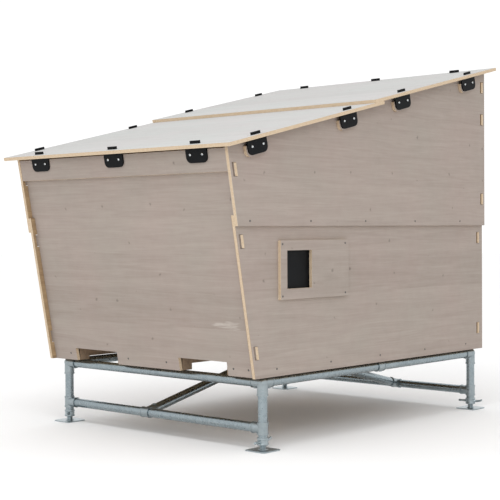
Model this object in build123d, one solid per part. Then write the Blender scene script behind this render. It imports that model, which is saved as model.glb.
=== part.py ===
from build123d import *
from math import atan2, cos, degrees, hypot, radians, sin, tan
import os

# A small plywood animal house with a single-pitch roof, standing on a frame of
# galvanised tubes with four screw feet. Millimetres, +X to the hatch side,
# +Y to the high rear side, +Z up. The design axes have Y = 0 at the lower front
# corner of the side walls; export moves every piece so that the origin lies on
# the floor under the middle of the whole object.

# --- driving dimensions: house ------------------------------------------------
board = 18.0                  # plywood thickness of every board
board_play = 1.0              # gap between two fitted boards
house_width = 1576.0          # over the outer faces of the lower side walls
house_depth = 2064.0          # side wall, lower front corner to rear edge
front_lean = 10.5             # degrees that the front leans out as it rises
roof_pitch = 13.0             # degrees, rising to the rear
eaves_height = 1177.0         # wall foot to roof underside, over the front corner
lower_wall_height = 798.0
right_wall_lap = 52.0         # upper right wall hangs this far over the lower one
left_wall_lap = 81.0
rear_wall_lap = 52.0
front_wall_inset = 28.0       # side wall edge to the front wall's outer face
rear_wall_inset = 34.0        # side wall edge to the lower rear wall's outer face
fascia_depth = 123.0          # front fascia's foot, measured straight down from the roof
fascia_board = 27.0           # fascia thickness
fascia_roof_gap = 12.0        # open gap between the fascia and the roof

# tenons of the front and rear walls, through mortises in the side walls
tenon_height = 64.0
tenon_end_inset = 126.0       # lower walls: tenon centre from the wall's foot or top
front_upper_tenon = 270.0     # centre, above the right wall's lap line
rear_upper_tenons = (159.0, 637.0, 830.0)
mortise_slack = 12.0          # open gap left in front of each tenon
mortise_end_play = 2.0        # gap above and below each tenon
mortise_corner = 3.0

# --- driving dimensions: base and floor ----------------------------------------
pocket_centre = 410.0         # lift pockets, from the middle of the house
pocket_width = 344.0
pocket_height = 69.0
block_depth = 68.0
block_proud = 27.0            # blocks reach this far into the pocket, on its right
batten_width = 45.0
batten_height = 36.0

# --- driving dimensions: roof and its hooks --------------------------------------
roof_front_overhang = 44.0    # beyond the side wall's top front corner
roof_rear_overhang = 39.0
roof_side_overhang = 60.0
roof_lap = 81.0               # rear sheet over front sheet, along the slope
hook_width = 142.0
hook_drop = 76.0              # plate below the roof
hook_corner = 30.0
hook_board = 8.0              # black plate thickness
tongue_width = 65.0
tongue_proud = 14.0           # tongue above the roof
hook_roof_gap = 2.0           # plate stops this far below the roof
spacer_roof_gap = 27.0        # spacer stops this far below the roof
spacer_margin = 7.0           # spacer beyond the plate, at its sides and foot
slot_play = 2.0               # roof slot around the tongue
end_hook_spacing = 600.0      # front and rear hooks, centre to centre
front_sheet_insets = (224.0, 276.0)   # side hooks from the sheet's front and rear end
rear_sheet_insets = (290.0, 260.0)

# --- driving dimensions: pop hole ------------------------------------------------
cover_front = 173.0           # cover board, from the side wall's lower front corner
cover_width = 548.0
cover_foot = 379.0            # cover board above the wall's foot
cover_height = 295.0
hole_width = 193.0
hole_height = 192.0
hole_front_margin = 49.0      # cover board's front edge to the hole
hole_foot_margin = 53.0
slide_lap = 20.0              # slide covers the hole by this much all round
slide_clearance = 5.0         # around the slide in its chamber

# --- driving dimensions: tube frame ----------------------------------------------
tube_d = 48.3
tube_wall = 3.2
fitting_play = 0.35           # around a tube in its fitting
fitting_wall = 2.6
fitting_rim = 1.9             # a rim at each mouth stands this far out
rim_length = 9.0
socket_depth = 41.0           # socket's mouth, from the surface of the crossing tube
collar_margin = 7.0           # a tee's sleeve passes its branch by this much at each end
tube_stop_gap = 5.5           # end of a tube in a socket, from the bore it meets
frame_height = 366.0          # floor to the top of the corner fittings
leg_side_inset = 44.0         # leg axis inside the lower side wall's outer face
leg_front_inset = 101.0       # leg axis behind the side wall's lower front corner
leg_rear_inset = 65.0
low_rail_height = 111.0       # axis
cross_tube_y = 1069.0
brace_front_x = -95.0
brace_rear_x = 195.0

# --- driving dimensions: screw feet ----------------------------------------------
foot_plate = 130.0
foot_plate_thickness = 6.0
foot_plate_corner = 12.0
stem_play = 3.95              # around the stem in the leg
stem_length = 214.0           # above the plate
nut_foot = 28.0               # underside of the wing nut above the floor
nut_height = 37.0
nut_collar = 4.85             # nut beyond the leg that stands on it
nut_play = 0.6                # around the stem
handle_span = 150.0
handle_d = 12.0
nut_turns = {"front_right": 99.0, "front_left": 125.0, "rear_right": 10.0, "rear_left": 60.0}

# --- worked out ------------------------------------------------------------------
lean_tan = tan(radians(front_lean))
pitch_tan = tan(radians(roof_pitch))
pitch_cos = cos(radians(roof_pitch))
lean_board = board / cos(radians(front_lean))   # leaning board, measured level
fascia_level = fascia_board / cos(radians(front_lean))
roof_board = board / pitch_cos                  # roof sheet, measured upright
half_width = house_width / 2
upper_half = half_width + board                 # outer face of the upper side walls
wall_foot = frame_height
lower_wall_top = wall_foot + lower_wall_height
right_lap_foot = lower_wall_top - right_wall_lap
left_lap_foot = lower_wall_top - left_wall_lap
rear_lap_foot = lower_wall_top - rear_wall_lap
fitting_bore = tube_d + 2 * fitting_play
fitting_d = fitting_bore + 2 * fitting_wall
rim_d = fitting_d + 2 * fitting_rim
fitting_arm = tube_d / 2 + socket_depth         # socket length from the crossing of the axes
collar_length = tube_d + 2 * collar_margin
tube_stop = fitting_bore / 2 + tube_stop_gap
stem_d = tube_d - 2 * tube_wall - 2 * stem_play
nut_d = tube_d + 2 * nut_collar
top_rail_z = frame_height - rim_d / 2
leg_x = half_width - leg_side_inset
leg_front_y = leg_front_inset
leg_rear_y = house_depth - leg_rear_inset


def front_edge(z):
    """Y of the side walls' leaning front edge at height z."""
    return -lean_tan * (z - wall_foot)


def roof_under(y, layer=0):
    """Height of a roof sheet's underside; layer 1 is the sheet that laps on top."""
    return wall_foot + eaves_height + pitch_tan * y + layer * roof_board


def lean_top(offset, gap):
    """Height where a leaning plane, offset behind the front edge, meets the roof."""
    return wall_foot + (eaves_height + pitch_tan * offset - gap) / (1 + pitch_tan * lean_tan)


roof_front_y = front_edge(lean_top(0, 0)) - roof_front_overhang
roof_rear_y = house_depth + roof_rear_overhang
sheet_length = ((roof_rear_y - roof_front_y) / pitch_cos + roof_lap) / 2
sheet_run = sheet_length * pitch_cos
front_sheet_end = roof_front_y + sheet_run
rear_sheet_start = roof_rear_y - sheet_run
roof_half = upper_half + roof_side_overhang

rear_lower_face = house_depth - rear_wall_inset          # outer face, lower rear wall
rear_upper_face = rear_lower_face + board                # laps outside the lower one

hole_front = cover_front + hole_front_margin
hole_foot = wall_foot + cover_foot + hole_foot_margin
slide_board = board - 2 * slide_clearance
slide_travel = hole_width + slide_lap

plate_top = foot_plate_thickness
leg_foot = nut_foot + nut_height
leg_top = top_rail_z

front_y_min = roof_front_y - board * sin(radians(roof_pitch))
origin_shift = Location((0, -(front_y_min + roof_rear_y) / 2, 0))

parts = {}


# --- shared shapes -----------------------------------------------------------------
def block(x, y, z):
    """Box between two values of X, two of Y and two of Z."""
    size = Box(x[1] - x[0], y[1] - y[0], z[1] - z[0], align=(Align.MIN,) * 3)
    return Pos(x[0], y[0], z[0]) * size


def side_profile(points, x_low, x_high):
    """Board or bar whose outline is drawn in the Y-Z plane."""
    outline = make_face(Polyline(*points, close=True))
    return extrude(Plane.YZ.offset(x_low) * outline, amount=x_high - x_low)


def mirrored(shape):
    """The same piece on the other side of the house's middle plane."""
    return mirror(shape, about=Plane.YZ)


def rod(start, end, diameter):
    """Round bar between two points."""
    axis = Vector(*end) - Vector(*start)
    bar = Cylinder(diameter / 2, axis.length, align=(Align.CENTER, Align.CENTER, Align.MIN))
    return Plane(origin=start, z_dir=axis) * bar


def point_along(start, towards, distance):
    """Point at a distance from start on the way to another point."""
    way = (Vector(*towards) - Vector(*start)).normalized()
    return tuple(Vector(*start) + way * distance)


def leaning_slab(outer, z_low, z_high):
    """Y-Z outline of a board in the leaning front, between two heights."""
    inner = outer + lean_board
    return [(front_edge(z_low) + outer, z_low), (front_edge(z_low) + inner, z_low),
            (front_edge(z_high) + inner, z_high), (front_edge(z_high) + outer, z_high)]


def leaning_board(outer, thickness, z_low, gap):
    """Y-Z outline of a leaning board from a height up to the roof's underside."""
    inner = outer + thickness
    top_outer = lean_top(outer, gap)
    top_inner = lean_top(inner, gap)
    return [(front_edge(z_low) + outer, z_low), (front_edge(z_low) + inner, z_low),
            (front_edge(top_inner) + inner, top_inner), (front_edge(top_outer) + outer, top_outer)]


# --- front wall, fascia ----------------------------------------------------------
lower_tenons = (wall_foot + tenon_end_inset, lower_wall_top - tenon_end_inset)
front_upper_z = right_lap_foot + front_upper_tenon
rear_upper_z = [rear_lap_foot + height for height in rear_upper_tenons]
pockets = [(-pocket_centre - pocket_width / 2, -pocket_centre + pocket_width / 2),
           (pocket_centre - pocket_width / 2, pocket_centre + pocket_width / 2)]


def cut_pockets(wall, y_low, y_high):
    """Open the two lift pockets through the foot of a wall."""
    for x_low, x_high in pockets:
        opening = block((x_low, x_high), (y_low, y_high), (wall_foot - 1, wall_foot + pocket_height))
        wall -= opening
    return wall


def make_front_wall():
    """One board, narrower where it stands between the lower side walls."""
    outline = leaning_board(front_wall_inset, lean_board, wall_foot, board_play)
    wall = side_profile(outline, -half_width + board_play, half_width - board_play)
    narrow = half_width - board - board_play
    reach = (front_edge(lower_wall_top) - board, front_wall_inset + 2 * lean_board)
    beside = block((narrow, half_width), reach, (wall_foot - 1, lower_wall_top + board_play))
    wall -= beside
    wall -= mirrored(beside)
    wall = cut_pockets(wall, -board, front_wall_inset + 2 * lean_board)
    for z, reach_x in [(z, half_width) for z in lower_tenons] + [(front_upper_z, upper_half)]:
        slab = leaning_slab(front_wall_inset, z - tenon_height / 2, z + tenon_height / 2)
        wall += side_profile(slab, -reach_x, reach_x)
    return wall


def make_fascia():
    """Board across the top of the front wall, between the upper side walls."""
    outer = front_wall_inset - fascia_level
    foot = lean_top(outer, 0) - fascia_depth
    outline = leaning_board(outer, fascia_level, foot, fascia_roof_gap)
    return side_profile(outline, -half_width + board_play, half_width - board_play)


parts["front_wall"] = make_front_wall()
parts["front_fascia"] = make_fascia()


# --- rear walls --------------------------------------------------------------------
def make_rear_wall_lower():
    """Upright board between the lower side walls."""
    inner = rear_lower_face - board
    narrow = half_width - board - board_play
    wall = block((-narrow, narrow), (inner, rear_lower_face), (wall_foot, lower_wall_top))
    wall = cut_pockets(wall, inner - 1, rear_lower_face + 1)
    for z in lower_tenons:
        heights = (z - tenon_height / 2, z + tenon_height / 2)
        wall += block((-half_width, half_width), (inner, rear_lower_face), heights)
    return wall


def make_rear_wall_upper():
    """Upright board that laps outside the lower one, its top cut to the roof."""
    inner = rear_lower_face
    outer = rear_upper_face
    wide = half_width - board_play
    narrow = half_width - board - board_play
    outline = [(inner, rear_lap_foot), (outer, rear_lap_foot),
               (outer, roof_under(outer, 1) - board_play), (inner, roof_under(inner, 1) - board_play)]
    wall = side_profile(outline, -wide, wide)
    beside = block((narrow, half_width), (inner - 1, outer + 1),
                   (rear_lap_foot - 1, lower_wall_top + board_play))
    wall -= beside
    wall -= mirrored(beside)
    for z in rear_upper_z:
        heights = (z - tenon_height / 2, z + tenon_height / 2)
        wall += block((-upper_half, upper_half), (inner, outer), heights)
    return wall


parts["rear_wall_lower"] = make_rear_wall_lower()
parts["rear_wall_upper"] = make_rear_wall_upper()


# --- side walls --------------------------------------------------------------------
def front_mortise(z, x):
    """Leaning slot for a front wall tenon; the slack is on the slot's front side."""
    z_low = z - tenon_height / 2 - mortise_end_play
    z_high = z + tenon_height / 2 + mortise_end_play
    front = front_wall_inset - mortise_slack
    back = front_wall_inset + lean_board + board_play / 2
    points = [(front_edge(z_low) + front, z_low), (front_edge(z_low) + back, z_low),
              (front_edge(z_high) + back, z_high), (front_edge(z_high) + front, z_high)]
    slot = side_profile(points, x[0] - 1, x[1] + 1)
    return fillet(slot.edges().filter_by(Axis.X), mortise_corner)


def rear_mortise(z, face, x):
    """Upright slot for a rear wall tenon whose wall has this outer face."""
    heights = (z - tenon_height / 2 - mortise_end_play, z + tenon_height / 2 + mortise_end_play)
    slot = block((x[0] - 1, x[1] + 1), (face - board - mortise_slack, face + board_play / 2), heights)
    return fillet(slot.edges().filter_by(Axis.X), mortise_corner)


def make_side_wall_lower():
    """Right-hand lower wall without its hatch chamber."""
    x = (half_width - board, half_width)
    outline = [(0, wall_foot), (house_depth, wall_foot), (house_depth, lower_wall_top),
               (front_edge(lower_wall_top), lower_wall_top)]
    wall = side_profile(outline, *x)
    for z in lower_tenons:
        wall -= front_mortise(z, x)
        wall -= rear_mortise(z, rear_lower_face, x)
    return wall


def make_side_wall_upper(foot):
    """Right-hand upper wall; its top steps up to the rear roof sheet."""
    x = (half_width, upper_half)
    top = lean_top(0, board_play)
    step = front_sheet_end + board_play
    outline = [(front_edge(foot), foot), (house_depth, foot),
               (house_depth, roof_under(house_depth, 1) - board_play),
               (step, roof_under(step, 1) - board_play), (step, roof_under(step) - board_play),
               (front_edge(top), top)]
    wall = side_profile(outline, *x)
    wall -= front_mortise(front_upper_z, x)
    for z in rear_upper_z:
        wall -= rear_mortise(z, rear_upper_face, x)
    return wall


slide_front = hole_front - slide_lap
slide_foot = hole_foot - slide_lap
slide_width = hole_width + 2 * slide_lap
slide_height = hole_height + 2 * slide_lap
chamber_y = (slide_front - slide_clearance,
             slide_front + slide_width + slide_travel + slide_clearance)
chamber_z = (slide_foot - slide_clearance, slide_foot + slide_height + slide_clearance)
hatch_chamber = block((half_width - board - 1, half_width + 1), chamber_y, chamber_z)

parts["right_wall_lower"] = make_side_wall_lower() - hatch_chamber
parts["left_wall_lower"] = mirrored(make_side_wall_lower())
parts["right_wall_upper"] = make_side_wall_upper(right_lap_foot)
parts["left_wall_upper"] = mirrored(make_side_wall_upper(left_lap_foot))


# --- pop hole: cover boards on both faces of the wall, slide between them ------------
def make_hatch_board(x_low, x_high):
    """Cover board with the pop hole cut through it."""
    cover_z = wall_foot + cover_foot
    cover = block((x_low, x_high), (cover_front, cover_front + cover_width),
                  (cover_z, cover_z + cover_height))
    hole = block((x_low - 1, x_high + 1), (hole_front, hole_front + hole_width),
                 (hole_foot, hole_foot + hole_height))
    return cover - hole


parts["hatch_cover"] = make_hatch_board(half_width, half_width + board)
parts["hatch_inner_cover"] = make_hatch_board(half_width - 2 * board, half_width - board)
parts["hatch_slide"] = block(
    (half_width - board + slide_clearance, half_width - slide_clearance),
    (slide_front, slide_front + slide_width), (slide_foot, slide_foot + slide_height))


# --- floor, blocks, runners and battens ----------------------------------------------
floor_foot = wall_foot + pocket_height
inside_half = half_width - board - board_play
block_front_y = front_wall_inset + lean_board + board_play
block_rear_y = rear_lower_face - board - board_play
floor_front_y = front_edge(floor_foot) + front_wall_inset + lean_board + board_play
floor_rear_y = block_rear_y
block_spans = [(-inside_half, pockets[0][0]), (pockets[0][1] - block_proud, pockets[1][0]),
               (pockets[1][1] - block_proud, inside_half)]
between_blocks = (block_front_y + block_depth, block_rear_y - block_depth)


def make_base_blocks():
    """Blocks behind the front and rear walls, either side of the lift pockets."""
    blocks = []
    for x in block_spans:
        for y_low in (block_front_y, block_rear_y - block_depth):
            blocks.append(block(x, (y_low, y_low + block_depth), (wall_foot, floor_foot)))
    return blocks


def make_base_runners():
    """Full-height runners along the foot of both side walls."""
    runner = block((inside_half - batten_width, inside_half), between_blocks, (wall_foot, floor_foot))
    return [runner, mirrored(runner)]


def make_floor_battens():
    """Shallow battens under the floor, along the sides of the lift pockets."""
    battens = []
    edges = [block_spans[0][1] - batten_width, block_spans[1][0],
             block_spans[1][1] - batten_width, block_spans[2][0]]
    for x_low in edges:
        heights = (floor_foot - batten_height, floor_foot)
        battens.append(block((x_low, x_low + batten_width), between_blocks, heights))
    return battens


parts["floor_panel"] = block((-inside_half, inside_half), (floor_front_y, floor_rear_y),
                             (floor_foot, floor_foot + board))
parts["base_blocks"] = make_base_blocks()
parts["base_runners"] = make_base_runners()
parts["floor_battens"] = make_floor_battens()


# --- roof hooks: black plates whose tongues pass the roof; side ones stand on spacers ---
def side_hook_planes(sign):
    """Planes on an upper side wall's outer face, X along the roof, Y square to it."""
    places = [(roof_front_y + front_sheet_insets[0], 0), (front_sheet_end - front_sheet_insets[1], 0),
              (rear_sheet_start + rear_sheet_insets[0], 1), (roof_rear_y - rear_sheet_insets[1], 1)]
    along = (0, sign * pitch_cos, sign * sin(radians(roof_pitch)))
    return [Plane(origin=(sign * upper_half, y, roof_under(y, layer)), x_dir=along, z_dir=(sign, 0, 0))
            for y, layer in places]


def front_hook_planes():
    """Planes on the fascia's outer face where it meets the roof's underside."""
    offset = front_wall_inset - fascia_level
    top = lean_top(offset, 0)
    outward = (0, -cos(radians(front_lean)), -sin(radians(front_lean)))
    return [Plane(origin=(x, front_edge(top) + offset, top), x_dir=(1, 0, 0), z_dir=outward)
            for x in (-end_hook_spacing, 0, end_hook_spacing)]


def rear_hook_planes():
    """Planes on the upper rear wall's outer face where it meets the roof's underside."""
    height = roof_under(rear_upper_face, 1)
    return [Plane(origin=(x, rear_upper_face, height), x_dir=(-1, 0, 0), z_dir=(0, 1, 0))
            for x in (-end_hook_spacing, 0, end_hook_spacing)]


def hook_outline(gap, margin):
    """Outline below the roof, its two lower corners rounded; the margin enlarges it."""
    half = hook_width / 2 + margin
    foot = hook_drop + margin
    plate = make_face(Polyline((-half, -gap), (half, -gap), (half, -foot), (-half, -foot), close=True))
    lower = plate.vertices().sort_by(Axis.Y)[:2]
    return fillet(lower, hook_corner)


def make_spacer(plane):
    """Plywood spacer between a side wall and the black plate."""
    return extrude(plane * hook_outline(spacer_roof_gap, spacer_margin), amount=board)


def make_tongue(plane, standoff, reach, play):
    """Tongue from inside the plate up through the roof, with play for cutting its slot."""
    across = tongue_width + 2 * play
    thick = hook_board + 2 * play
    tongue = Box(across, reach + hook_corner, thick, align=(Align.CENTER, Align.MIN, Align.MIN))
    return plane * Pos(0, -hook_corner, standoff - play) * tongue


def make_hook(plane, standoff, reach):
    """Black plate with its tongue, a standoff away from the wall."""
    plate = extrude(plane.offset(standoff) * hook_outline(hook_roof_gap, 0), amount=hook_board)
    return plate + make_tongue(plane, standoff, reach, 0)


side_reach = board + tongue_proud
front_reach = roof_board + tongue_proud
rear_reach = roof_board + pitch_tan * hook_board + tongue_proud
hook_groups = {"front": (front_hook_planes(), 0, front_reach), "rear": (rear_hook_planes(), 0, rear_reach),
               "left": (side_hook_planes(-1), board, side_reach),
               "right": (side_hook_planes(1), board, side_reach)}

roof_slots = []
for side, (planes, standoff, reach) in hook_groups.items():
    parts[side + "_hooks"] = [make_hook(plane, standoff, reach) for plane in planes]
    roof_slots += [make_tongue(plane, standoff, reach + tongue_proud, slot_play) for plane in planes]
parts["hook_spacers"] = [make_spacer(plane) for plane in side_hook_planes(-1) + side_hook_planes(1)]


# --- roof sheets ---------------------------------------------------------------------
def make_roof_sheet(y_front, layer):
    """Sheet square to the slope, from its lower front edge, with slots for the tongues."""
    along = (0, pitch_cos, sin(radians(roof_pitch)))
    corner = Plane(origin=(-roof_half, y_front, roof_under(y_front, layer)), x_dir=along, z_dir=(1, 0, 0))
    sheet = corner * Box(sheet_length, board, 2 * roof_half, align=(Align.MIN,) * 3)
    low = sheet.bounding_box()
    for slot in roof_slots:
        middle = slot.center().Y
        if low.min.Y < middle < low.max.Y:
            sheet -= slot
    return sheet


parts["roof_front_sheet"] = make_roof_sheet(roof_front_y, 0)
parts["roof_rear_sheet"] = make_roof_sheet(rear_sheet_start, 1)


# --- tube frame ------------------------------------------------------------------------
corners = {"front_right": (leg_x, leg_front_y), "front_left": (-leg_x, leg_front_y),
           "rear_right": (leg_x, leg_rear_y), "rear_left": (-leg_x, leg_rear_y)}
end_x = leg_x - tube_stop

for name, y in (("front", leg_front_y), ("rear", leg_rear_y)):
    parts["top_rail_" + name] = rod((-end_x, y, top_rail_z), (end_x, y, top_rail_z), tube_d)
    parts["low_rail_" + name] = rod((-end_x, y, low_rail_height), (end_x, y, low_rail_height), tube_d)
for name, x in (("left", -leg_x), ("right", leg_x)):
    parts["top_rail_" + name] = rod((x, leg_front_y + tube_stop, top_rail_z),
                                    (x, leg_rear_y - tube_stop, top_rail_z), tube_d)
parts["cross_tube"] = rod((-end_x, cross_tube_y, top_rail_z), (end_x, cross_tube_y, top_rail_z), tube_d)

brace_ends = {"front": ((brace_front_x, leg_front_y, low_rail_height),
                        (brace_front_x, cross_tube_y, top_rail_z)),
              "rear": ((brace_rear_x, leg_rear_y, low_rail_height),
                       (brace_rear_x, cross_tube_y, top_rail_z))}
for name, (low, high) in brace_ends.items():
    parts["brace_" + name] = rod(point_along(low, high, tube_stop), point_along(high, low, tube_stop), tube_d)

for name, (x, y) in corners.items():
    leg = rod((x, y, leg_foot), (x, y, leg_top), tube_d)
    leg -= rod((x, y, leg_foot - 1), (x, y, leg_top + 1), tube_d - 2 * tube_wall)
    parts["leg_" + name] = leg


# --- cast fittings -----------------------------------------------------------------------
def sleeve(start, end):
    """Round casting from a crossing to a socket's mouth, with the rim around the mouth."""
    return rod(start, end, fitting_d) + rod(point_along(end, start, rim_length), end, rim_d)


def make_corner_fitting(x, y):
    """Three-way corner with a ball in the crossing: sockets for the leg and two top rails."""
    inward_x = -fitting_arm if x > 0 else fitting_arm
    inward_y = fitting_arm if y < cross_tube_y else -fitting_arm
    centre = (x, y, top_rail_z)
    ends = [(x, y, top_rail_z - fitting_arm), (x + inward_x, y, top_rail_z),
            (x, y + inward_y, top_rail_z)]
    body = Pos(*centre) * Sphere(rim_d / 2)
    for end in ends:
        body += sleeve(centre, end)
    body -= rod((x, y, leg_top), (x, y, top_rail_z - fitting_arm - 1), fitting_bore)
    for end in ends[1:]:
        body -= rod(point_along(centre, end, tube_stop), point_along(centre, end, fitting_arm + 1),
                    fitting_bore)
    return body


def make_tee(centre, along, towards):
    """Tee: a sleeve around the tube that runs through, and a socket for the other."""
    way = Vector(*along).normalized() * (collar_length / 2)
    sleeve_ends = (tuple(Vector(*centre) - way), tuple(Vector(*centre) + way))
    body = sleeve(centre, sleeve_ends[0]) + sleeve(centre, sleeve_ends[1])
    body += sleeve(centre, point_along(centre, towards, fitting_arm))
    cutter_ends = (tuple(Vector(*centre) - way * 1.1), tuple(Vector(*centre) + way * 1.1))
    body -= rod(*cutter_ends, fitting_bore)
    body -= rod(point_along(centre, towards, tube_stop), point_along(centre, towards, fitting_arm + 1),
                fitting_bore)
    return body


parts["corner_fittings"] = [make_corner_fitting(x, y) for x, y in corners.values()]
parts["leg_tees"] = [make_tee((x, y, low_rail_height), (0, 0, 1), (0, y, low_rail_height))
                     for x, y in corners.values()]
parts["side_rail_tees"] = [make_tee((x, cross_tube_y, top_rail_z), (0, 1, 0), (0, cross_tube_y, top_rail_z))
                           for x in (-leg_x, leg_x)]
parts["low_rail_tees"] = [make_tee(low, (1, 0, 0), high) for low, high in brace_ends.values()]
parts["cross_tube_tees"] = [make_tee(high, (1, 0, 0), low) for low, high in brace_ends.values()]


# --- screw feet ----------------------------------------------------------------------------
def make_foot(x, y):
    """Square plate with its upright stem, which slides in the leg."""
    plate = Pos(x, y, 0) * Box(foot_plate, foot_plate, foot_plate_thickness,
                               align=(Align.CENTER, Align.CENTER, Align.MIN))
    plate = fillet(plate.edges().filter_by(Axis.Z), foot_plate_corner)
    return plate + rod((x, y, plate_top - 1), (x, y, plate_top + stem_length), stem_d)


def make_wing_nut(x, y, turn):
    """Round nut with two bar handles, under the foot of a leg."""
    nut = rod((x, y, nut_foot), (x, y, nut_foot + nut_height), nut_d)
    bar = Cylinder(handle_d / 2, handle_span, rotation=(0, 90, 0))
    nut += Pos(x, y, nut_foot + nut_height / 2) * Rot(Z=turn) * bar
    return nut - rod((x, y, nut_foot - 1), (x, y, nut_foot + nut_height + 1), stem_d + 2 * nut_play)


for name, (x, y) in corners.items():
    parts["foot_" + name] = make_foot(x, y)
parts["wing_nuts"] = [make_wing_nut(x, y, nut_turns[name]) for name, (x, y) in corners.items()]


# --- export ----------------------------------------------------------------------------------
os.makedirs("parts", exist_ok=True)
for name, shape in parts.items():
    solids = shape if isinstance(shape, list) else [shape]
    placed = [origin_shift * solid for piece in solids for solid in piece.solids()]
    whole = placed[0] if len(placed) == 1 else Compound(children=placed)
    whole.label = name
    export_step(whole, f"parts/{name}.step")
print(f"roof sheet {sheet_length:.1f} long, origin shift {origin_shift.position.Y:.2f}")
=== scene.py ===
from math import ceil, cos, pi, radians, sin, tan

import bpy
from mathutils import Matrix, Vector


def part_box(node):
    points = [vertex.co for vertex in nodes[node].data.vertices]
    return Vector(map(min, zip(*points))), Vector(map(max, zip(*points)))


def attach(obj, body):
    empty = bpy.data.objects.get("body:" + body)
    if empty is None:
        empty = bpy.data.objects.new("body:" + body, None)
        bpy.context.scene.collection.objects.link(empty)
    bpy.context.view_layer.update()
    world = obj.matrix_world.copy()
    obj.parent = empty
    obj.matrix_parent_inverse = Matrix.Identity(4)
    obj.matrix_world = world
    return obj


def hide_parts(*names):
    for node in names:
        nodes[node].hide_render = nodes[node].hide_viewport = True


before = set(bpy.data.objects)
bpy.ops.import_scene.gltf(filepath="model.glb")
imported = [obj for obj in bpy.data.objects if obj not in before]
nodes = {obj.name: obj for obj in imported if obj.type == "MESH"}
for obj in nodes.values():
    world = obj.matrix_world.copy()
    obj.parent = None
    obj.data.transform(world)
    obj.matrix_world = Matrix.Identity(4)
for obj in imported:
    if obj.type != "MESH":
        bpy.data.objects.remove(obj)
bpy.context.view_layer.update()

# --- Tubes of the stand --------------------------------------------------------------
# Welded steel tube, 48.3 mm across, cut to length and hot-dip galvanised. The zinc has
# faint crystals about a centimetre wide, duller patches and a soft, slightly blue shine.


def linear(code):
    """Linear colour of an sRGB hex value."""
    values = [int(code[i:i + 2], 16) / 255 for i in (1, 3, 5)]
    return [v / 12.92 if v <= 0.04045 else ((v + 0.055) / 1.055) ** 2.4 for v in values] + [1.0]


def add_node(tree, kind, settings={}, links={}):
    """Adds a node. Settings are its sockets or attributes by name, links its incoming sockets."""
    node = tree.nodes.new(kind)
    for name, value in settings.items():
        if isinstance(name, str) and hasattr(node, name):
            setattr(node, name, value)
        else:
            node.inputs[name].default_value = value
    for name, source in links.items():
        tree.links.new(source, node.inputs[name])
    return node


def new_material(name):
    """Empty material: itself, its node tree and its surface shader."""
    material = bpy.data.materials.new(name)
    material.use_nodes = True
    tree = material.node_tree
    tree.nodes.clear()
    surface = add_node(tree, "ShaderNodeBsdfPrincipled")
    add_node(tree, "ShaderNodeOutputMaterial", links={"Surface": surface.outputs[0]})
    return material, tree, surface


def dress(names, material):
    """Gives pieces of the frame their finish."""
    for name in names:
        nodes[name].data.materials.clear()
        nodes[name].data.materials.append(material)


def zinc_metal(name, dark, light, patch, dull, grit, relief, edge):
    """Zinc-coated metal: two tones in patches, a range of dullness, a rough skin and eased edges."""
    material, tree, surface = new_material(name)
    place = add_node(tree, "ShaderNodeTexCoord").outputs["Object"]
    crystals = add_node(tree, "ShaderNodeTexVoronoi", {"Scale": 1 / 0.011}, {"Vector": place})
    patches = add_node(tree, "ShaderNodeTexNoise", {"Scale": 1 / patch, "Detail": 5.0}, {"Vector": place})
    tone = add_node(tree, "ShaderNodeMix", {"data_type": "FLOAT", 0: 0.7},
                    {2: crystals.outputs["Color"], 3: patches.outputs[0]})
    zinc = add_node(tree, "ShaderNodeMix", {"data_type": "RGBA", 6: linear(dark), 7: linear(light)},
                    {0: tone.outputs[0]})
    dullness = add_node(tree, "ShaderNodeMapRange",
                        {"From Min": 0.3, "From Max": 0.7, "To Min": dull[0], "To Max": dull[1]},
                        {0: tone.outputs[0]})
    skin = add_node(tree, "ShaderNodeTexNoise", {"Scale": 1 / grit, "Detail": 4.0}, {"Vector": place})
    eased = add_node(tree, "ShaderNodeBevel", {"samples": 3, "Radius": edge})
    bumps = add_node(tree, "ShaderNodeBump", {"Strength": 0.4, "Distance": relief},
                     {"Height": skin.outputs[0], "Normal": eased.outputs[0]})
    surface.inputs["Metallic"].default_value = 1.0
    tree.links.new(zinc.outputs[2], surface.inputs["Base Color"])
    tree.links.new(dullness.outputs[0], surface.inputs["Roughness"])
    tree.links.new(bumps.outputs[0], surface.inputs["Normal"])
    return material


tube_starts = ("cross_tube", "top_rail_", "low_rail_front", "low_rail_rear", "brace_", "leg_front_",
               "leg_rear_")
tubes = [name for name in nodes if name.startswith(tube_starts) and not name.endswith("_tees")]
dress(tubes, zinc_metal("galvanised_tube", "#78848a", "#a9b4b8", 0.09, (0.22, 0.34), 0.009, 0.00004, 0.0006))

# --- Castings ------------------------------------------------------------------------
# Malleable iron fittings slid over the tubes, sand cast and galvanised, so rougher and
# duller than the tube. Each socket is held by a set screw in a raised boss.


def reach(form, angle):
    """Radius factor of an outline: round, hexagon, six-lobed or rounded square."""
    if form == "hex":
        return cos(pi / 6) / cos(angle % (pi / 3) - pi / 6)
    if form == "star":
        return 1 + 0.16 * cos(6 * angle)
    if form == "square":
        return 1 / (abs(cos(angle)) ** 12 + abs(sin(angle)) ** 12) ** (1 / 12)
    return 1.0


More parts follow.
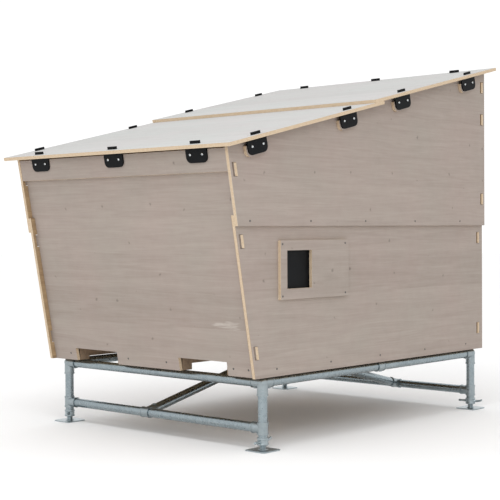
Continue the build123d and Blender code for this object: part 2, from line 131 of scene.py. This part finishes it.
def turned(shape, origin, axis, profile, steps=24, lift=0.0):
    """Adds a surface round an axis; the profile lists (height, radius, form). Lift bends its end up."""
    axis = Vector(axis).normalized()
    side = Vector((1, 0, 0)) if abs(axis.z) > 0.99 else axis.cross((0, 0, 1)).normalized()
    other = axis.cross(side)
    top = max(height for height, _, _ in profile)
    rings = []
    for height, radius, form in profile:
        middle = Vector(origin) + axis * height + Vector((0, 0, lift * max(0, 2 * height / top - 1) ** 2))
        if radius == 0:
            rings.append([len(shape["points"])] * steps)
            shape["points"].append(middle)
            continue
        rings.append([len(shape["points"]) + i for i in range(steps)])
        for i in range(steps):
            angle = 2 * pi * i / steps
            out = side * cos(angle) + other * sin(angle)
            shape["points"].append(middle + out * radius * reach(form, angle))
    for low, high in zip(rings, rings[1:]):
        for i in range(steps):
            face = [low[i], low[(i + 1) % steps], high[(i + 1) % steps], high[i]]
            shape["faces"].append(list(dict.fromkeys(face)))


def new_shape():
    """Empty shape for points and faces."""
    return {"points": [], "faces": []}


def make_piece(name, shape, material, body, smooth=35):
    """Mesh piece from a shape, shaded smooth up to an angle, riding on a body."""
    mesh = bpy.data.meshes.new(name)
    mesh.from_pydata(shape["points"], [], shape["faces"])
    mesh.validate()
    mesh.materials.append(material)
    mesh.polygons.foreach_set("use_smooth", [True] * len(mesh.polygons))
    mesh.set_sharp_from_angle(angle=radians(smooth))
    piece = bpy.data.objects.new(name, mesh)
    bpy.context.scene.collection.objects.link(piece)
    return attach(piece, body)


def centre(name):
    """Middle of a piece's box."""
    low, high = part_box(name)
    return (low + high) / 2


casting = zinc_metal("galvanised_casting", "#7f8b90", "#b0b9bc", 0.05, (0.3, 0.44), 0.006, 0.00015, 0.0012)
fittings = ["corner_fittings", "leg_tees", "side_rail_tees", "low_rail_tees", "cross_tube_tees"]
dress(fittings, casting)

# A boss 17 mm across, with a sunk hexagon socket screw.
set_screw_profile = [(-0.003, 0.0095, "round"), (0.0030, 0.0086, "round"), (0.0042, 0.0074, "round"),
                     (0.0042, 0.0052, "round"), (0.0030, 0.0050, "round"), (0.0034, 0.0034, "hex"),
                     (0.0010, 0.0032, "hex"), (0.0010, 0, "round")]
fitting_radius = 0.0271
socket_screw = 0.047
boss_offset = 0.012
legs = {name[4:]: centre(name) for name in nodes if name.startswith("leg_") and name != "leg_tees"}
top_z = centre("top_rail_front").z
low_z = centre("low_rail_front").z
down = (0, 0, -1)
boss_places = []
for leg in legs.values():
    inward_x = -1 if leg.x > 0 else 1
    inward_y = 1 if leg.y < 0 else -1
    beside = (0, inward_y, 0)
    boss_places += [((leg.x, leg.y, top_z - socket_screw), beside),
                    ((leg.x + inward_x * socket_screw, leg.y, top_z), down),
                    ((leg.x, leg.y + inward_y * socket_screw, top_z), down),
                    ((leg.x, leg.y, low_z + boss_offset), beside),
                    ((leg.x + inward_x * socket_screw, leg.y, low_z), beside)]
cross_y = centre("cross_tube").y
for x in (min(leg.x for leg in legs.values()), max(leg.x for leg in legs.values())):
    boss_places.append(((x, cross_y + boss_offset, top_z), down))
    boss_places.append(((x - socket_screw * (1 if x > 0 else -1), cross_y, top_z), down))
for name in ("brace_front", "brace_rear"):
    boss_places.append(((centre(name).x + boss_offset, cross_y, top_z), down))
set_screws = new_shape()
for place, out in boss_places:
    turned(set_screws, Vector(place) + Vector(out) * fitting_radius, out, set_screw_profile)
make_piece("set_screws", set_screws, casting, "house")

# --- Screw feet ----------------------------------------------------------------------
# A square steel plate with a rolled round thread welded upright on it, zinc plated and
# scuffed. A cast wing nut carries the leg; turning its two handles levels the house.

plated = zinc_metal("zinc_plated_steel", "#87949a", "#bcc5c8", 0.03, (0.25, 0.4), 0.004, 0.0002, 0.0008)
nut_casting = zinc_metal("nut_casting", "#87949a", "#bac3c6", 0.02, (0.3, 0.45), 0.0022, 0.0004, 0.0015)
plate_half = 0.065
stem_radius = 0.017
thread_pitch = 0.008
thread_depth = 0.0022
thread_start = 0.012
stem_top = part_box("foot_front_left")[1].z

# Plate with eased rims, then the weld bead that runs up to the thread.
plate_profile = [(0, 0, "round"), (0, plate_half - 0.0012, "square"), (0.0012, plate_half, "square"),
                 (0.0048, plate_half, "square"), (0.0060, plate_half - 0.0012, "square"),
                 (0.0060, 0.0235, "round"), (0.0082, 0.0222, "round"), (0.0102, 0.0195, "round"),
                 (thread_start, stem_radius - thread_depth, "round")]


def thread_shape(shape, origin, low, high, steps=24):
    """Adds an upright bar with a rounded helical thread, eight rows of points to a turn."""
    rows = ceil((high - low) / thread_pitch * 8)
    first = len(shape["points"])
    for row in range(rows + 1):
        height = low + (high - low) * row / rows
        for i in range(steps):
            angle = 2 * pi * i / steps
            wave = 0.5 + 0.5 * cos(2 * pi * height / thread_pitch - angle)
            radius = stem_radius - thread_depth * wave
            out = Vector((radius * cos(angle), radius * sin(angle), height))
            shape["points"].append(Vector(origin) + out)
    for row in range(rows):
        for i in range(steps):
            a = first + row * steps + i
            b = first + row * steps + (i + 1) % steps
            shape["faces"].append([a, b, b + steps, a + steps])
    turned(shape, origin, (0, 0, 1), [(high, stem_radius - thread_depth, "round"), (high, 0, "round")])


for name in legs:
    foot = new_shape()
    middle = centre("foot_" + name)
    turned(foot, (middle.x, middle.y, 0), (0, 0, 1), plate_profile, 72)
    thread_shape(foot, (middle.x, middle.y, 0), thread_start, stem_top)
    piece = make_piece("screw_foot_" + name, foot, plated, "screw_foot_" + name)
    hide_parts("foot_" + name)

nut_low, nut_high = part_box("wing_nuts")
nut_height = nut_high.z - nut_low.z
nut_radius = 0.029
bore_radius = 0.0176
rim_radius = nut_radius - 0.0018
waist_radius = nut_radius - 0.0020
hub_profile = [(0, bore_radius, "round"), (0, rim_radius, "round"), (0.0018, nut_radius, "round"),
               (0.0080, nut_radius, "round"), (0.0100, waist_radius, "round"),
               (nut_height - 0.0100, waist_radius, "round"), (nut_height - 0.0080, nut_radius, "round"),
               (nut_height - 0.0018, nut_radius, "round"), (nut_height, rim_radius, "round"),
               (nut_height, bore_radius, "round"), (0, bore_radius, "round")]
handle_profile = [(0.0220, 0.0100, "round"), (0.0290, 0.0088, "round"), (0.0330, 0.0070, "round"),
                  (0.0420, 0.0062, "round"), (0.0560, 0.0058, "round"), (0.0640, 0.0062, "round"),
                  (0.0700, 0.0070, "round"), (0.0735, 0.0062, "round"), (0.0750, 0.0040, "round"),
                  (0.0754, 0, "round")]
handle_turns = {"front_right": 99, "front_left": 125, "rear_right": 10, "rear_left": 60}
wing_nuts = new_shape()
for name, leg in legs.items():
    turned(wing_nuts, (leg.x, leg.y, nut_low.z), (0, 0, 1), hub_profile, 36)
    for half_turn, lift in ((0, 0.009), (180, 0.0)):
        angle = radians(handle_turns[name] + half_turn)
        turned(wing_nuts, (leg.x, leg.y, nut_low.z + nut_height / 2), (cos(angle), sin(angle), 0),
               handle_profile, 20, lift)
nut_piece = make_piece("cast_wing_nuts", wing_nuts, nut_casting, "house")
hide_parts("wing_nuts")

# --- Floor frame ---------------------------------------------------------------------
# Planed softwood under the floor and behind the lift pockets, untreated, with growth rings showing
# as long lines. Its brown is darkened with painted shade, to how the blocks look in the shaded pockets.

softwood, tree, surface = new_material("planed_softwood")
place = add_node(tree, "ShaderNodeTexCoord").outputs["Object"]
# Lines 8 mm apart across the grain, stretched to about 150 mm along it.
stretched = add_node(tree, "ShaderNodeMapping", {"Scale": (6.0, 120.0, 120.0)}, {"Vector": place})
rings = add_node(tree, "ShaderNodeTexNoise", {"Scale": 1.0, "Detail": 5.0, "Distortion": 0.4},
                 {"Vector": stretched.outputs[0]})
# Painted shade: these browns are the blocks' wood colour darkened to their look in the pockets' shadow.
timber_with_painted_shade = add_node(tree, "ShaderNodeMix", {"data_type": "RGBA", 6: linear("#6f5d4e"), 7: linear("#a08a73")},
                  {0: rings.outputs[0]})
eased = add_node(tree, "ShaderNodeBevel", {"samples": 3, "Radius": 0.0015})
relief = add_node(tree, "ShaderNodeBump", {"Strength": 0.3, "Distance": 0.0005},
                  {"Height": rings.outputs[0], "Normal": eased.outputs[0]})
surface.inputs["Roughness"].default_value = 0.8
surface.inputs["Specular IOR Level"].default_value = 0.25
tree.links.new(timber_with_painted_shade.outputs[2], surface.inputs["Base Color"])
tree.links.new(relief.outputs[0], surface.inputs["Normal"])
dress(["base_blocks", "base_runners", "floor_battens"], softwood)

# --- Walls, floor and roof boards ----------------------------------------------------
# Softwood plywood, 18 mm in nine plies. Only the outer faces are stained, grey-beige, and
# before cutting, so inner faces, sawn edges and tenon ends stay raw and show the plies.

board = 0.018
front_lean = radians(10.5)
roof_pitch = radians(13.0)


def plywood(name, through, along, dark, light, knot, thickness=board):
    """Plywood: its face looks outward along one direction, its grain runs along another."""
    material, tree, surface = new_material(name)
    through = Vector(through)
    along = Vector(along)
    place = add_node(tree, "ShaderNodeTexCoord").outputs["Object"]
    run, span, depth = [
        add_node(tree, "ShaderNodeVectorMath", {"operation": "DOT_PRODUCT", 1: way},
                 {0: place}).outputs["Value"]
        for way in (along, through.cross(along), through)]

    # Rotary-cut face veneer, joined from strips about 190 mm wide with their own tint.
    strip = add_node(tree, "ShaderNodeMath", {"operation": "MULTIPLY", 1: 1 / 0.19}, {0: span})
    strip = add_node(tree, "ShaderNodeMath", {"operation": "FLOOR"}, {0: strip.outputs[0]})
    tint = add_node(tree, "ShaderNodeTexWhiteNoise", {"noise_dimensions": "1D"}, {"W": strip.outputs[0]})
    sheet = add_node(tree, "ShaderNodeCombineXYZ", {}, {0: run, 1: span, 2: tint.outputs["Value"]})
    # Fine grain lines 4 mm apart and about 200 mm long, over broad figure 30 mm apart.
    fine = add_node(tree, "ShaderNodeMapping", {"Scale": (5.0, 240.0, 40.0)}, {"Vector": sheet.outputs[0]})
    grain = add_node(tree, "ShaderNodeTexNoise", {"Scale": 1.0, "Detail": 5.0, "Roughness": 0.65},
                     {"Vector": fine.outputs[0]})
    wide = add_node(tree, "ShaderNodeMapping", {"Scale": (2.0, 32.0, 9.0)}, {"Vector": sheet.outputs[0]})
    figure = add_node(tree, "ShaderNodeTexNoise", {"Scale": 1.0, "Detail": 4.0, "Distortion": 1.1},
                      {"Vector": wide.outputs[0]})
    # Stain sits unevenly, in clouds of about 60 mm and 350 mm.
    cloud = add_node(tree, "ShaderNodeTexNoise", {"Scale": 1 / 0.06, "Detail": 4.0, "Roughness": 0.6},
                     {"Vector": place})
    blotch = add_node(tree, "ShaderNodeTexNoise", {"Scale": 1 / 0.35, "Detail": 2.0}, {"Vector": place})
    tone = add_node(tree, "ShaderNodeMath", {"operation": "MULTIPLY", 1: 0.34}, {0: grain.outputs[0]})
    for share, source in ((0.4, figure.outputs[0]), (0.16, cloud.outputs[0]), (0.1, tint.outputs["Value"])):
        tone = add_node(tree, "ShaderNodeMath", {"operation": "MULTIPLY_ADD", 1: share},
                        {0: source, 2: tone.outputs[0]})
    tone = add_node(tree, "ShaderNodeMapRange", {"From Min": 0.33, "From Max": 0.67}, {0: tone.outputs[0]})
    stained = add_node(tree, "ShaderNodeMix", {"data_type": "RGBA", 6: linear(dark), 7: linear(light)},
                       {0: tone.outputs[0]})
    uneven = add_node(tree, "ShaderNodeMix",
                      {"data_type": "RGBA", 6: linear("#f2faf4"), 7: linear("#fff4f2")},
                      {0: blotch.outputs[0]})
    stained = add_node(tree, "ShaderNodeMix", {"data_type": "RGBA", "blend_type": "MULTIPLY", 0: 0.7},
                       {6: stained.outputs[2], 7: uneven.outputs[2]})
    # Raw wood of the inner faces, its brown darkened with painted shade to how an inner face looks in the
    # shade beside the front wall.
    raw_and_shaded = add_node(tree, "ShaderNodeMix", {"data_type": "RGBA", 6: linear("#8a7156"), 7: linear("#b59b78")},
                   {0: tone.outputs[0]})

    # The outer face looks away from the house's middle; the origin lies inside the house.
    normal = add_node(tree, "ShaderNodeNewGeometry").outputs["Normal"]
    facing = add_node(tree, "ShaderNodeVectorMath", {"operation": "DOT_PRODUCT", 1: through}, {0: normal})
    outward = add_node(tree, "ShaderNodeMath", {"operation": "MULTIPLY"},
                       {0: facing.outputs["Value"], 1: depth})
    outward = add_node(tree, "ShaderNodeMath", {"operation": "GREATER_THAN", 1: 0.0},
                       {0: outward.outputs[0]})
    face = add_node(tree, "ShaderNodeMix", {"data_type": "RGBA"},
                    {0: outward.outputs[0], 6: raw_and_shaded.outputs[2], 7: stained.outputs[2]})

    # Knots with ragged outlines: a few of 12 to 25 mm in cells of 180 mm, and pinholes
    # of 3 to 5 mm in cells of 70 mm.
    ragged = add_node(tree, "ShaderNodeTexNoise", {"Scale": 1 / 0.02, "Detail": 3.0}, {"Vector": place})
    shaken = add_node(tree, "ShaderNodeVectorMath", {"operation": "MULTIPLY_ADD", 1: (0.025, 0.025, 0.0)},
                      {0: ragged.outputs["Color"], 2: sheet.outputs[0]})
    knots = ((0.18, 0.012, 0.06, 0.5, 0.55), (0.07, 0.010, 0.03, 0.6, 0.45))
    for cell, small, large, share, strength in knots:
        spread = add_node(tree, "ShaderNodeTexVoronoi", {"voronoi_dimensions": "2D", "Scale": 1 / cell},
                          {"Vector": shaken.outputs[0]})
        chance = add_node(tree, "ShaderNodeSeparateColor", {}, {0: spread.outputs["Color"]})
        size = add_node(tree, "ShaderNodeMapRange", {"To Min": small, "To Max": large},
                        {0: chance.outputs[1]})
        near = add_node(tree, "ShaderNodeMath", {"operation": "SUBTRACT"},
                        {0: size.outputs[0], 1: spread.outputs["Distance"]})
        near = add_node(tree, "ShaderNodeMath", {"operation": "MULTIPLY", 1: 30.0, "use_clamp": True},
                        {0: near.outputs[0]})
        chosen = add_node(tree, "ShaderNodeMath", {"operation": "LESS_THAN", 1: share},
                          {0: chance.outputs[0]})
        spot = add_node(tree, "ShaderNodeMath", {"operation": "MULTIPLY"},
                        {0: near.outputs[0], 1: chosen.outputs[0]})
        spot = add_node(tree, "ShaderNodeMath", {"operation": "MULTIPLY", 1: strength}, {0: spot.outputs[0]})
        face = add_node(tree, "ShaderNodeMix", {"data_type": "RGBA", 7: linear(knot)},
                        {0: spot.outputs[0], 6: face.outputs[2]})

    # Sawn edge: nine plies, every other one end grain and darker, with saw marks.
    ply = add_node(tree, "ShaderNodeMath", {"operation": "MULTIPLY", 1: 4.5 / thickness}, {0: depth})
    ply = add_node(tree, "ShaderNodeMath", {"operation": "FRACT"}, {0: ply.outputs[0]})
    cross = add_node(tree, "ShaderNodeMath", {"operation": "GREATER_THAN", 1: 0.5}, {0: ply.outputs[0]})
    saw = add_node(tree, "ShaderNodeTexNoise", {"Scale": 1 / 0.012, "Detail": 4.0}, {"Vector": place})
    edge = add_node(tree, "ShaderNodeMix", {"data_type": "RGBA", 6: linear("#e9dcc6"), 7: linear("#b99b7b")},
                    {0: cross.outputs[0]})
    worn = add_node(tree, "ShaderNodeMix", {"data_type": "RGBA", 6: linear("#d6cbb9"), 7: linear("#ffffff")},
                    {0: saw.outputs[0]})
    edge = add_node(tree, "ShaderNodeMix", {"data_type": "RGBA", "blend_type": "MULTIPLY", 0: 0.7},
                    {6: edge.outputs[2], 7: worn.outputs[2]})

    flat = add_node(tree, "ShaderNodeMath", {"operation": "ABSOLUTE"}, {0: facing.outputs["Value"]})
    flat = add_node(tree, "ShaderNodeMath", {"operation": "GREATER_THAN", 1: 0.9}, {0: flat.outputs[0]})
    colour = add_node(tree, "ShaderNodeMix", {"data_type": "RGBA"},
                      {0: flat.outputs[0], 6: edge.outputs[2], 7: face.outputs[2]})
    eased = add_node(tree, "ShaderNodeBevel", {"samples": 3, "Radius": 0.001})
    relief = add_node(tree, "ShaderNodeBump", {"Strength": 0.35, "Distance": 0.0006},
                      {"Height": grain.outputs[0], "Normal": eased.outputs[0]})
    surface.inputs["Roughness"].default_value = 0.75
    surface.inputs["Specular IOR Level"].default_value = 0.25
    tree.links.new(colour.outputs[2], surface.inputs["Base Color"])
    tree.links.new(relief.outputs[0], surface.inputs["Normal"])
    return material, tree, surface, place, colour


front_out = Vector((0, -cos(front_lean), -sin(front_lean)))
roof_up = (0, -sin(roof_pitch), cos(roof_pitch))
grey = ("#988c85", "#aa9f98", "#6a605a")
side_boards = ["left_wall_lower", "left_wall_upper", "right_wall_lower", "right_wall_upper", "hatch_cover",
               "hatch_inner_cover"]
dress(side_boards, plywood("side_plywood", (1, 0, 0), (0, 1, 0), *grey)[0])
dress(["hook_spacers"], plywood("spacer_plywood", (1, 0, 0), (0, 1, 0), *grey)[0])
dress(["rear_wall_lower", "rear_wall_upper"], plywood("rear_plywood", (0, 1, 0), (1, 0, 0), *grey)[0])
# The roof sheets take the walls' stain painted lighter and neutral grey: painted light from the sky falling
# on their tops.
dress(["roof_front_sheet", "roof_rear_sheet"],
      plywood("roof_plywood_painted_light", roof_up, (1, 0, 0), "#b7b7b7", "#c5c5c6", "#8f8d8b")[0])
dress(["floor_panel"], plywood("floor_plywood", (0, 0, 1), (0, 1, 0), "#b79c78", "#d2b992", "#7a5c3e")[0])

# The front wall has a pale scrape, 220 mm long, low on its right.
front_plywood, tree, surface, place, colour = plywood("front_plywood", front_out, (1, 0, 0), *grey)
scrape_middle = (0.615, 0.0, 0.622)
scrape_half_length = 0.11
scrape_half_height = 0.024
scrape_place = add_node(tree, "ShaderNodeVectorMath", {"operation": "SUBTRACT", 1: scrape_middle}, {0: place})
scrape_place = add_node(tree, "ShaderNodeVectorMath",
                        {"operation": "MULTIPLY", 1: (1 / scrape_half_length, 0.0, 1 / scrape_half_height)},
                        {0: scrape_place.outputs[0]})
away = add_node(tree, "ShaderNodeVectorMath", {"operation": "LENGTH"}, {0: scrape_place.outputs[0]})
streaks = add_node(tree, "ShaderNodeMapping", {"Scale": (14.0, 14.0, 110.0)}, {"Vector": place})
streaks = add_node(tree, "ShaderNodeTexNoise", {"Scale": 1.0, "Detail": 4.0}, {"Vector": streaks.outputs[0]})
scrape = add_node(tree, "ShaderNodeMath", {"operation": "MULTIPLY_ADD", 1: 2.4, 2: -0.35},
                  {0: streaks.outputs[0]})
scrape = add_node(tree, "ShaderNodeMath", {"operation": "SUBTRACT"},
                  {0: scrape.outputs[0], 1: away.outputs["Value"]})
scrape = add_node(tree, "ShaderNodeMath", {"operation": "MULTIPLY", 1: 1.0, "use_clamp": True},
                  {0: scrape.outputs[0]})
scraped = add_node(tree, "ShaderNodeMix", {"data_type": "RGBA", 7: linear("#bfb6ae")},
                   {0: scrape.outputs[0], 6: colour.outputs[2]})
tree.links.new(scraped.outputs[2], surface.inputs["Base Color"])
dress(["front_wall", "front_fascia"], front_plywood)

# --- Wood screws ---------------------------------------------------------------------
# Countersunk 4.5 mm screws with six-lobed recesses, driven flush. Each has torn a dark
# Round each head a dark ring is painted shade, the shadow in the countersink's gap.

# Painted shade: the dark rings round the screw heads stand for the shadow in each countersink.
sunk, tree, surface = new_material("countersink_painted_shade")
surface.inputs["Base Color"].default_value = linear("#4d4239")
surface.inputs["Roughness"].default_value = 0.9
surface.inputs["Specular IOR Level"].default_value = 0.2
dull_steel = zinc_metal("dull_steel", "#4b4c4c", "#77797a", 0.004, (0.4, 0.6), 0.002, 0.0002, 0.0003)
ring_profile = [(-0.0005, 0.0056, "round"), (0.00015, 0.0054, "round"), (0.00015, 0, "round")]
head_profile = [(0.0001, 0.0043, "round"), (0.0005, 0.0040, "round"), (0.0005, 0.0021, "star"),
                (0.0002, 0.0018, "star"), (0.0002, 0, "round")]

side_wall_depth = 2.064
house_corner_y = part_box("right_wall_lower")[1].y - side_wall_depth
wall_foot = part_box("right_wall_lower")[0].z
front_foot_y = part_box("base_blocks")[0].y - board / cos(front_lean) - 0.001
screw_row = wall_foot + 0.038
lap_rise = 0.025
# First screw behind the front corner, and the spacing, of each row.
row_starts = {"upper": -0.052, "lower": 0.16}
row_steps = {"upper": 0.461, "lower": 0.43}
side_rows = [("right_wall_upper", 1, 1), ("right_wall_lower", 1, 1), ("left_wall_upper", 0, -1),
             ("left_wall_lower", 0, -1)]
screws = []
for name, corner, sign in side_rows:
    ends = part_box(name)
    storey = name.split("_")[-1]
    height = screw_row if storey == "lower" else ends[0].z + lap_rise
    for i in range(5):
        y = house_corner_y + row_starts[storey] + row_steps[storey] * i
        screws.append(((ends[corner].x, y, height), (sign, 0, 0)))
for x in (-0.631, -0.152, 0.143, 0.623, 0.724):
    screws.append(((x, front_foot_y - tan(front_lean) * (screw_row - wall_foot), screw_row), front_out))
    screws.append(((x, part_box("rear_wall_lower")[1].y, screw_row), (0, 1, 0)))
rear_low, rear_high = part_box("rear_wall_upper")
for i in range(5):
    screws.append(((-0.66 + 0.33 * i, rear_high.y, rear_low.z + lap_rise), (0, 1, 0)))
cover_low, cover_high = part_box("hatch_cover")
for y in (cover_low.y + 0.014, cover_high.y - 0.031):
    for z in (cover_low.z + 0.017, cover_high.z - 0.018):
        screws.append(((cover_high.x, y, z), (1, 0, 0)))
rings = new_shape()
heads = new_shape()
for place, out in screws:
    turned(rings, place, out, ring_profile, 20)
    turned(heads, place, out, head_profile, 24)
make_piece("screw_shade_rings", rings, sunk, "house")
make_piece("wood_screws", heads, dull_steel, "house")

# --- Hatch and hooks -----------------------------------------------------------------
# Black HDPE, cut from sheet, with a fine matt grain and slightly dusty. Every hook plate
# is held by two bright pan-head screws.

plastic, tree, surface = new_material("black_plastic_sheet")
place = add_node(tree, "ShaderNodeTexCoord").outputs["Object"]
skin = add_node(tree, "ShaderNodeTexNoise", {"Scale": 1 / 0.0015, "Detail": 2.0}, {"Vector": place})
dust = add_node(tree, "ShaderNodeTexNoise", {"Scale": 1 / 0.04, "Detail": 5.0}, {"Vector": place})
black = add_node(tree, "ShaderNodeMix", {"data_type": "RGBA", 6: linear("#030405"), 7: linear("#101215")},
                 {0: dust.outputs[0]})
eased = add_node(tree, "ShaderNodeBevel", {"samples": 3, "Radius": 0.0012})
relief = add_node(tree, "ShaderNodeBump", {"Strength": 0.2, "Distance": 0.0002},
                  {"Height": skin.outputs[0], "Normal": eased.outputs[0]})
surface.inputs["Roughness"].default_value = 0.5
surface.inputs["Specular IOR Level"].default_value = 0.12
tree.links.new(black.outputs[2], surface.inputs["Base Color"])
tree.links.new(relief.outputs[0], surface.inputs["Normal"])
dress(["front_hooks", "rear_hooks", "left_hooks", "right_hooks", "hatch_slide"], plastic)

bright_zinc = zinc_metal("bright_zinc", "#b9bdbf", "#e0e3e4", 0.01, (0.2, 0.35), 0.002, 0.0001, 0.0005)
pan_profile = [(0, 0.0064, "round"), (0.0010, 0.0067, "round"), (0.0024, 0.0060, "round"),
               (0.0036, 0.0044, "round"), (0.0040, 0.0030, "round"), (0.0040, 0.0025, "star"),
               (0.0022, 0.0021, "star"), (0.0022, 0, "round")]
hook_board = 0.008
plate_half_width = 0.071
tongue_half_width = 0.0325
tongue_height = 0.014
screw_inset = 0.041
screw_drop = 0.035
roof_board = board / cos(roof_pitch)


def solids_along(name, axis):
    """Boxes of a node's separate solids, which stand at least 150 mm apart along an axis."""
    points = sorted((nodes[name].matrix_world @ vertex.co for vertex in nodes[name].data.vertices),
                    key=lambda point: point[axis])
    groups = [[points[0]]]
    for before, point in zip(points, points[1:]):
        if point[axis] - before[axis] > 0.15:
            groups.append([])
        groups[-1].append(point)
    return [(Vector(map(min, zip(*group))), Vector(map(max, zip(*group)))) for group in groups]


hook_screws = new_shape()
for inset in (-screw_inset, screw_inset):
    for name, sign in (("left_hooks", -1), ("right_hooks", 1)):
        for low, high in solids_along(name, 1):
            # The plate hangs from the roof's underside, square to the slope.
            y = low.y + plate_half_width * cos(roof_pitch)
            z = high.z - tongue_half_width * sin(roof_pitch) - (board + tongue_height) * cos(roof_pitch)
            place = ((low.x if sign < 0 else high.x),
                     y + inset * cos(roof_pitch) + screw_drop * sin(roof_pitch),
                     z + inset * sin(roof_pitch) - screw_drop * cos(roof_pitch))
            turned(hook_screws, place, (sign, 0, 0), pan_profile)
    for low, high in solids_along("front_hooks", 0):
        # The front plates lean with the front wall.
        tongue = roof_board + tongue_height
        top = Vector(((low.x + high.x) / 2, low.y + hook_board * cos(front_lean) + tongue * sin(front_lean),
                      high.z - tongue * cos(front_lean)))
        drop = Vector((inset, screw_drop * sin(front_lean), -screw_drop * cos(front_lean)))
        turned(hook_screws, top + drop + front_out * hook_board, front_out, pan_profile)
    for low, high in solids_along("rear_hooks", 0):
        tongue = roof_board + hook_board * tan(roof_pitch) + tongue_height
        place = ((low.x + high.x) / 2 + inset, high.y, high.z - tongue - screw_drop)
        turned(hook_screws, place, (0, 1, 0), pan_profile)
make_piece("hook_screws", hook_screws, bright_zinc, "house")

# --- Studio --------------------------------------------------------------------------
# White paper floor and white surround, one large soft lamp overhead and one near the
# camera, and a long lens.

floor_mesh = bpy.data.meshes.new("studio_floor")
floor_mesh.from_pydata([(-40, -40, 0), (40, -40, 0), (40, 40, 0), (-40, 40, 0)], [], [(0, 1, 2, 3)])
floor = bpy.data.objects.new("studio_floor", floor_mesh)
bpy.context.scene.collection.objects.link(floor)
paper, tree, surface = new_material("studio_paper")
surface.inputs["Base Color"].default_value = (0.93, 0.93, 0.93, 1.0)
surface.inputs["Roughness"].default_value = 0.95
floor_mesh.materials.append(paper)

world = bpy.data.worlds.new("studio_world")
world.use_nodes = True
world.node_tree.nodes["Background"].inputs[0].default_value = linear("#ffffff")
world.node_tree.nodes["Background"].inputs[1].default_value = 1.08
bpy.context.scene.world = world


def soft_lamp(name, place, target, width, power):
    """Square lamp that looks at a point."""
    light = bpy.data.lights.new(name, "AREA")
    light.size = width
    light.energy = power
    lamp = bpy.data.objects.new(name, light)
    bpy.context.scene.collection.objects.link(lamp)
    lamp.location = place
    lamp.rotation_euler = (Vector(target) - Vector(place)).to_track_quat("-Z", "Y").to_euler()


soft_lamp("overhead_lamp", (1.5, -3.0, 6.0), (0, 0, 0.5), 2.0, 60)
soft_lamp("camera_lamp", (4.5, -6.0, 3.6), (0, 0, 0.6), 1.6, 60)

camera = bpy.data.cameras.new("camera")
camera.sensor_width = 36.0
camera.lens = 89.43
viewer = bpy.data.objects.new("camera", camera)
bpy.context.scene.collection.objects.link(viewer)
viewer.location = (4.8277, -5.3985, 1.0998)
viewer.rotation_euler = (radians(90 - 0.986), radians(0.319), radians(42.28))
bpy.context.scene.camera = viewer
bpy.context.scene.view_settings.view_transform = "Standard"
